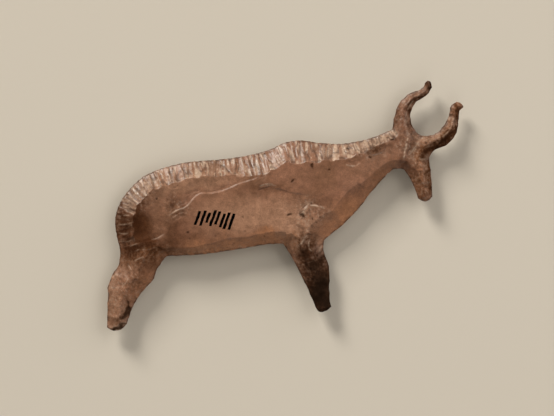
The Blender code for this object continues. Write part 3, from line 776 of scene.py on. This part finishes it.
def hexGrid(outline, spacing):
    # a triangular grid over the outline's box, thinned to the points inside
    low, high = outline.min(0), outline.max(0)
    columns = np.arange(low[0], high[0], spacing)
    rows = np.arange(low[1], high[1], spacing * 0.75**0.5)
    x, y = np.meshgrid(columns, rows)
    x[::2] += spacing / 2
    points = np.column_stack([x.ravel(), y.ravel()])
    rng = np.random.default_rng(meshing["jitterSeed"])
    points += rng.uniform(-meshing["jitter"], meshing["jitter"], points.shape) * spacing
    return points[insideOf(outline, points)]


# the marks on the outline itself, with painted shade and a painted ridge highlight along it
rimMarks = {"ridge": 0.4, "tone": 0.5, "fresh": 0.0, "broken": 0.0, "crumbsAndGlints": 0.0, "dark": 0.4,
            "dent": 0.0, "scuffedGlint": 0.0}


def faceTriangles(outline, inner, shown):
    # the flat triangulation of the outline and the points inside it, turned to face outwards
    count = len(outline)
    points = np.vstack([outline, inner])
    cells, origins = delaunay_2d_cdt([tuple(p) for p in points], [], [list(range(count))], 1, 1e-9)[2:4]
    first = np.array([o[0] for o in origins])
    triangles = first[np.array(cells)]
    a, b, c = (points[triangles[:, j]] for j in range(3))
    turn = (b - a)[:, 0] * (c - a)[:, 1] - (b - a)[:, 1] * (c - a)[:, 0]
    return np.where(((turn > 0) == shown)[:, None], triangles, triangles[:, ::-1])


def figurineMesh():
    # both faces over one outline, joined by a rim; the middle of the outline's box is the origin
    outline, halves, shownFlakes, reverseFlakes = knappedEdge()
    coarse = outline[::meshing["coarseStep"]]
    count = len(outline)
    middle = figure["bodyThickness"] / 2
    tangent = np.roll(outline, -1, axis=0) - np.roll(outline, 1, axis=0)
    tangent /= np.linalg.norm(tangent, axis=1)[:, None]
    inset = outline + np.column_stack([tangent[:, 1], -tangent[:, 0]]) * meshing["rimInset"]
    rimHalf = figure["rimShare"] * halves
    plan = [outline, outline]
    vertices = [np.column_stack([outline, middle + rimHalf]), np.column_stack([outline, middle - rimHalf])]
    k = np.arange(count)
    after = (k + 1) % count
    faces = [np.column_stack([k, after, after + count]), np.column_stack([k, after + count, k + count])]
    marks = [{name: np.full(2 * count, value) for name, value in rimMarks.items()}]
    base = 2 * count
    for flakes, spacing, shown in ((shownFlakes, meshing["shownSpacing"], True),
                                   (reverseFlakes, meshing["reverseSpacing"], False)):
        grid = hexGrid(outline, spacing)
        clear = meshing["rimInset"] + meshing["clearOfRim"] * spacing
        grid = grid[nearestOn(coarse, grid)[0] > clear]
        inner = np.vstack([inset[insideOf(outline, inset)], grid])
        height, mark = faceSurface(inner, outline, halves, flakes, shown)
        vertices.append(np.column_stack([inner, middle + height if shown else middle - height]))
        plan.append(inner)
        marks.append(mark)
        triangles = faceTriangles(outline, inner, shown)
        onRim = triangles < count
        faces.append(np.where(onRim, triangles + (0 if shown else count), triangles - count + base))
        base += len(inner)
        print("shown face:" if shown else "reverse:", len(inner), "points")
    vertices, plan = np.vstack(vertices), np.vstack(plan)
    centre = (outline.min(0) + outline.max(0)) / 2
    vertices[:, :2] -= centre
    mesh = bpy.data.meshes.new("flintSurface")
    mesh.from_pydata(vertices, [], np.vstack(faces))
    mesh.validate()
    relief = {name: np.concatenate([mark[name] for mark in marks]) for name in rimMarks}
    zone = {name: zoneMark(plan, *listed) for name, listed in zones.items() if name != "rough"}
    for name, values in colourMarks(relief, zone).items():
        layer = mesh.attributes.new(name, "FLOAT", "POINT")
        layer.data.foreach_set("value", values.astype(np.float32))
    mesh.shade_smooth()
    print("figurine:", len(mesh.polygons), "triangles")
    return mesh, centre


def linear(hexColour, alpha=1.0):
    # sRGB hex to linear light
    channels = [int(hexColour[i:i + 2], 16) / 255 for i in (1, 3, 5)]
    return [c / 12.92 if c <= 0.04045 else ((c + 0.055) / 1.055)**2.4 for c in channels] + [alpha]


def addNode(tree, kind, *values, **given):
    # a node of one kind, with the operation after it where it has one; values go to the inputs
    # in order, or are given by the name of a setting or an input, or by its number after an i
    kind, _, operation = kind.partition(" ")
    made = tree.nodes.new("ShaderNode" + kind)
    if operation:
        made.operation = operation
    given.update({"i%d" % k: value for k, value in enumerate(values)})
    for key, value in given.items():
        if hasattr(made, key):
            setattr(made, key, value)
            continue
        socket = made.inputs[int(key[1:]) if key[1:].isdigit() else key.replace("_", " ")]
        if isinstance(value, bpy.types.NodeSocket):
            tree.links.new(value, socket)
        else:
            socket.default_value = value
    return made.outputs


colours = {
    "body": "#6d4830",
    "cloud": "#865c45",
    # warmer, lighter brown: the stone's own, and painted fill light
    "warmAndFillLight": "#a0785e",
    # paler fresh stone, and painted highlight
    "paleAndHighlight": "#9c826f",
    # redder, lighter brown: the stone's own, and painted fill light
    "ruddyAndFillLight": "#a5714e",
    # dark patina, and painted shade
    "patinaAndShade": "#331b0e",
    "soot": "#21160f",
    # whitish crushed stone, and painted highlights on ridges, crumbs and lit risers
    "wearAndGlint": "#bfa792",
    # dark specks, and painted shade in pits and grooves
    "dent": "#22120a",
    # painted shade in creases, hollows and along the rim
    "paintedShade": "#3c2416",
    "ink": "#040404",
}

# width in mm of what each noise draws, its detail, roughness and distortion
noises = {
    "cloud": (11.11, 5.0, 0.6, 0.6),        # clouds within the stone
    "fleck": (1.923, 3.0, 0.6, 0.0),
    "mottle": (1.1765, 3.0, 0.6, 0.0),      # crumbs with painted glints, and hollows with painted shade, where it broke up
    "grain": (0.3846, 2.0, 0.6, 0.0),       # coarser than the real grain, so that it shows
    "shake": (1.4286, 1.0, 0.5, 0.0),       # unsteady edge of the ink
}

# the noise that each pattern is taken from, and what two of its values are turned to
patterns = {
    "clouded": ("cloud", 0.35, 0.65, 0.0, 1.0),
    "flecked": ("fleck", 0.35, 0.65, 0.0, 1.0),
    "speckled": ("fleck", 0.30, 0.70, 0.80, 1.20),
    "tint": ("grain", 0.25, 0.75, 0.76, 1.24),
    # dark spots of painted shade where the stone broke up
    "hollowShade": ("mottle", 0.50, 0.66, 0.0, 0.75),
    # pale crumbs with painted glints where the stone broke up
    "crumbsAndGlints": ("mottle", 0.47, 0.37, 0.0, 0.70),
}

stone = {
    "stainSwing": 7.0,            # how strongly a half stain, with its painted shade, breaks up
    "paleShare": (0.60, 0.45),    # of the pale skin and painted highlight between flecks, and what a fleck adds
    "patinaShare": (1.08, -0.16),
    "roughness": 0.38,            # flint takes a dull wax gloss
    "freshRough": -0.06,
    "fleckRough": 0.12,
    "stainRough": 0.08,
    "ior": 1.54,                  # quartz
    "specular": 0.38,
    "stainSpecular": -0.55,       # added where the stone is stained and where shade is painted
    "meanSpecular": 0.3,          # where a varying level can't be kept
    "bumpDepth": 0.00008,
    "bumpStrength": 0.6,
    "bumpGrain": 0.4,             # share of the grain beside the flecks
}

ink = {
    "centre": (313, 275),         # thousandths
    "turn": -11,                  # degrees
    "pitch": 0.00158,
    "height": 0.0060,
    "strokes": 8,
    "lean": 0.9,                  # pitches from the foot of a stroke to its head
    "half": 0.29,                 # half width in pitches
    "aside": 0.22,                # pitches by which a stroke may stand aside
    "higher": 0.24,               # heights by which it may stand higher
    "reach": (0.27, 0.18),        # heights from its middle to its ends, and what may be added
    "shake": 0.0004,
}


def inkMark(tree, place, noise, centre):
    # slanted strokes, one to each pitch, their place and length set by chance; one within them
    unit = figure["length"] / 1000
    shift = (ink["shake"], ink["shake"], 0)
    shaken = addNode(tree, "VectorMath MULTIPLY_ADD", noise, shift, place)[0]
    at = [ink["centre"][k] * unit - centre[k] + ink["shake"] / 2 for k in (0, 1)] + [0]
    own = addNode(tree, "Mapping", shaken, at, vector_type="TEXTURE",
                  Rotation=(0, 0, np.radians(ink["turn"])), Scale=(ink["pitch"], ink["height"], 1))[0]
    axes = addNode(tree, "SeparateXYZ", Vector=own)
    run = addNode(tree, "Math MULTIPLY_ADD", axes["Y"], -ink["lean"], axes["X"])[0]
    cell = addNode(tree, "Math FLOOR", run)[0]
    within = addNode(tree, "Math FRACT", run)[0]
    chance = addNode(tree, "TexWhiteNoise", noise_dimensions="1D", W=cell)["Color"]
    parts = addNode(tree, "SeparateColor", Color=chance)
    aside = addNode(tree, "Math MULTIPLY_ADD", parts[0], ink["aside"], within)[0]
    higher = addNode(tree, "Math MULTIPLY_ADD", parts[1], ink["higher"], axes["Y"])[0]
    least, added = ink["reach"]
    reach = addNode(tree, "Math MULTIPLY_ADD", parts[2], added, least)[0]
    high = addNode(tree, "SeparateXYZ", Vector=place)["Z"]
    inked = addNode(tree, "Math GREATER_THAN", high, figure["bodyThickness"] / 2)[0]
    for value, middle, half in ((aside, 0.5 + ink["aside"] / 2, ink["half"]),
                                (higher, ink["higher"] / 2, reach),
                                (cell, -0.5, ink["strokes"] / 2 - 0.25)):
        near = addNode(tree, "Math COMPARE", value, middle, half)[0]
        inked = addNode(tree, "Math MULTIPLY", inked, near)[0]
    return inked


def flintMaterial(centre):
    # knapped flint, a quartz as fine as wax: brown and cloudy below a waxy skin, whitish where the small
    # flakes came off along the back, near black where the ground stained it; its colour also holds painted
    # highlights on the back, ridges, crumbs and lit risers, painted fill light on facets turned from the
    # key, and painted shade in creases, hollows, pits, along the rim and on facets turned from the light
    material = bpy.data.materials.new("knappedFlint")
    material.use_nodes = True
    tree = material.node_tree
    shader = tree.nodes["Principled BSDF"]
    place = addNode(tree, "TexCoord")["Object"]
    mark = {name: addNode(tree, "Attribute", attribute_name=name)["Fac"]
            for name in ("warmAndFillLight", "ruddyAndFillLight", "lit", "paleAndHighlight", "patinaAndShade", "wearAndGlint", "dark", "soot", "dent",
                         "fresh", "broken")}
    noise = {name: addNode(tree, "TexNoise", Vector=place, Scale=1000 / width, Detail=detail,
                           Roughness=roughness, Distortion=distortion)
             for name, (width, detail, roughness, distortion) in noises.items()}
    pattern = {name: addNode(tree, "MapRange", Value=noise[source]["Fac"], From_Min=low, From_Max=high,
                             To_Min=start, To_Max=end)[0]
               for name, (source, low, high, start, end) in patterns.items()}
    for name in ("hollowShade", "crumbsAndGlints"):
        pattern[name] = addNode(tree, "Math MULTIPLY", pattern[name], mark["broken"])[0]

    # a stain, and painted shade, that is half there breaks up: mark + swing * mark * (1 - mark) * (mottle -
    # 0.5) * broken
    off = addNode(tree, "Math SUBTRACT", noise["mottle"]["Fac"], 0.5)[0]
    off = addNode(tree, "Math MULTIPLY", off, mark["broken"])[0]
    for name in ("patinaAndShade", "soot"):
        rest = addNode(tree, "Math SUBTRACT", 1.0, mark[name])[0]
        half = addNode(tree, "Math MULTIPLY", mark[name], rest)[0]
        swing = addNode(tree, "Math MULTIPLY", half, stone["stainSwing"])[0]
        mark[name] = addNode(tree, "Math MULTIPLY_ADD", swing, off, mark[name], use_clamp=True)[0]
    for name, source, share in (("paleAndHighlight", "flecked", "paleShare"), ("patinaAndShade", "clouded", "patinaShare")):
        least, added = stone[share]
        uneven = addNode(tree, "Math MULTIPLY_ADD", pattern[source], added, least)[0]
        mark[name] = addNode(tree, "Math MULTIPLY", mark[name], uneven, use_clamp=True)[0]

    # from the body outwards, each layer mixed over the last by its own mark
    # the pale, warm, ruddy and worn layers carry painted highlight and fill light, the patina, crack and
    # hollows layers painted shade
    layers = [
        (pattern["clouded"], "cloud"), (mark["warmAndFillLight"], "warmAndFillLight"), (mark["ruddyAndFillLight"], "ruddyAndFillLight"),
        (mark["lit"], "paleAndHighlight"), (mark["paleAndHighlight"], "paleAndHighlight"), (pattern["crumbsAndGlints"], "paleAndHighlight"),
        (mark["patinaAndShade"], "patinaAndShade"), (mark["wearAndGlint"], "wearAndGlint"), (mark["dark"], "paintedShade"),
        (pattern["hollowShade"], "paintedShade"), (mark["soot"], "soot"), (mark["dent"], "dent"),
    ]
    colour = linear(colours["body"])
    for factor, name in layers:
        colour = addNode(tree, "Mix", data_type="RGBA", i0=factor, i6=colour, i7=linear(colours[name]))[2]
    for name in ("tint", "speckled"):
        colour = addNode(tree, "VectorMath SCALE", colour, Scale=pattern[name])[0]
    inked = inkMark(tree, place, noise["shake"]["Color"], centre)
    colour = addNode(tree, "Mix", data_type="RGBA", i0=inked, i6=colour, i7=linear(colours["ink"]))[2]
    tree.links.new(colour, shader.inputs["Base Color"])

    # waxy where the flakes are fresh, dull and without shine on the stains and the painted shade, the pits
    # and the ink
    stainAndShade = mark["soot"]
    for other in (mark["patinaAndShade"], inked, mark["dent"]):
        stainAndShade = addNode(tree, "Math MAXIMUM", stainAndShade, other)[0]
    rough = stone["roughness"]
    for value, share in ((mark["fresh"], "freshRough"), (pattern["flecked"], "fleckRough"),
                         (stainAndShade, "stainRough")):
        rough = addNode(tree, "Math MULTIPLY_ADD", value, stone[share], rough)[0]
    tree.links.new(rough, shader.inputs["Roughness"])
    level = addNode(tree, "Math MULTIPLY_ADD", stainAndShade, stone["stainSpecular"], stone["specular"],
                    use_clamp=True)[0]
    shader.inputs["Specular IOR Level"].default_value = stone["meanSpecular"]
    tree.links.new(level, shader.inputs["Specular IOR Level"])
    shader.inputs["IOR"].default_value = stone["ior"]
    uneven = addNode(tree, "Math MULTIPLY_ADD", noise["grain"]["Fac"], stone["bumpGrain"],
                     noise["fleck"]["Fac"])[0]
    bump = addNode(tree, "Bump", Height=uneven, Strength=stone["bumpStrength"],
                   Distance=stone["bumpDepth"])["Normal"]
    tree.links.new(bump, shader.inputs["Normal"])
    print("material:", len(tree.nodes), "nodes")
    return material


figurineSurface, figurineCentre = figurineMesh()
figurine = bpy.data.objects.new("flintFigurine", figurineSurface)
bpy.context.scene.collection.objects.link(figurine)
figurine.data.materials.append(flintMaterial(figurineCentre))
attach(figurine, "root")
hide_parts(node)

studio = {
    "floor": "#cec8bc",
    "floorSize": 3.0,
    "floorRoughness": 0.9,
    "world": "#fff4e6",
    "worldStrength": 0.21,
    "lean": 5.0,                  # degrees the figure leans in the picture, anticlockwise
    "aim": (480.4, 288.9),        # thousandths of the figure at the picture's centre
    "across": 0.1777,             # metres that the picture's width spans at the figure's middle
    "cameraHeight": 0.75,
    "sensorWidth": 36.0,          # mm
    # bearing in the picture from its right side, angle from straight up, distance, size, power
    "softboxes": {
        "keySoftbox": (122, 62, 3.2, 1.0, 96.0, "#fff8ee"),
        "fillSoftbox": (30, 58, 2.2, 2.6, 32.0, "#fffaf4"),
        "lowSoftbox": (285, 42, 1.6, 1.2, 3.6, "#fff8f0"),
    },
}


def studioFloor():
    half = studio["floorSize"] / 2
    mesh = bpy.data.meshes.new("paleFloor")
    corners = [(-half, -half, 0), (half, -half, 0), (half, half, 0), (-half, half, 0)]
    mesh.from_pydata(corners, [], [(0, 1, 2, 3)])
    floor = bpy.data.objects.new("paleFloor", mesh)
    bpy.context.scene.collection.objects.link(floor)
    material = bpy.data.materials.new("paleBoard")
    material.use_nodes = True
    shader = material.node_tree.nodes["Principled BSDF"]
    shader.inputs["Base Color"].default_value = linear(studio["floor"])
    shader.inputs["Roughness"].default_value = studio["floorRoughness"]
    mesh.materials.append(material)
    print("floor: made")


def softbox(name, bearing, tilt, distance, size, power, colour):
    # a square light on a sphere round the figure, turned to face it
    bearing, tilt = np.radians(bearing - studio["lean"]), np.radians(tilt)
    place = Vector((np.cos(bearing) * np.sin(tilt), np.sin(bearing) * np.sin(tilt), np.cos(tilt))) * distance
    light = bpy.data.lights.new(name, "AREA")
    light.energy, light.size, light.color = power, size, linear(colour)[:3]
    lamp = bpy.data.objects.new(name, light)
    bpy.context.scene.collection.objects.link(lamp)
    lamp.location = place
    lamp.rotation_euler = (-place).to_track_quat("-Z", "Y").to_euler()


def studioCamera():
    unit = figure["length"] / 1000
    x = nodeLow.x + studio["aim"][0] * unit
    y = nodeLow.y + studio["aim"][1] * unit
    data = bpy.data.cameras.new("studioCamera")
    camera = bpy.data.objects.new("studioCamera", data)
    bpy.context.scene.collection.objects.link(camera)
    camera.location = (x, y, (nodeLow.z + nodeHigh.z) / 2 + studio["cameraHeight"])
    camera.rotation_euler = (0, 0, -np.radians(studio["lean"]))
    data.sensor_width = studio["sensorWidth"]
    data.lens = studio["sensorWidth"] * studio["cameraHeight"] / studio["across"]
    bpy.context.scene.camera = camera


studioFloor()
studioCamera()
for name, numbers in studio["softboxes"].items():
    softbox(name, *numbers)
print("studio:", len(studio["softboxes"]), "softboxes and a camera")
world = bpy.data.worlds.new("softRoom")
bpy.context.scene.world = world
world.use_nodes = True
world.node_tree.nodes["Background"].inputs["Color"].default_value = linear(studio["world"])
world.node_tree.nodes["Background"].inputs["Strength"].default_value = studio["worldStrength"]
bpy.context.scene.view_settings.view_transform = "Standard"
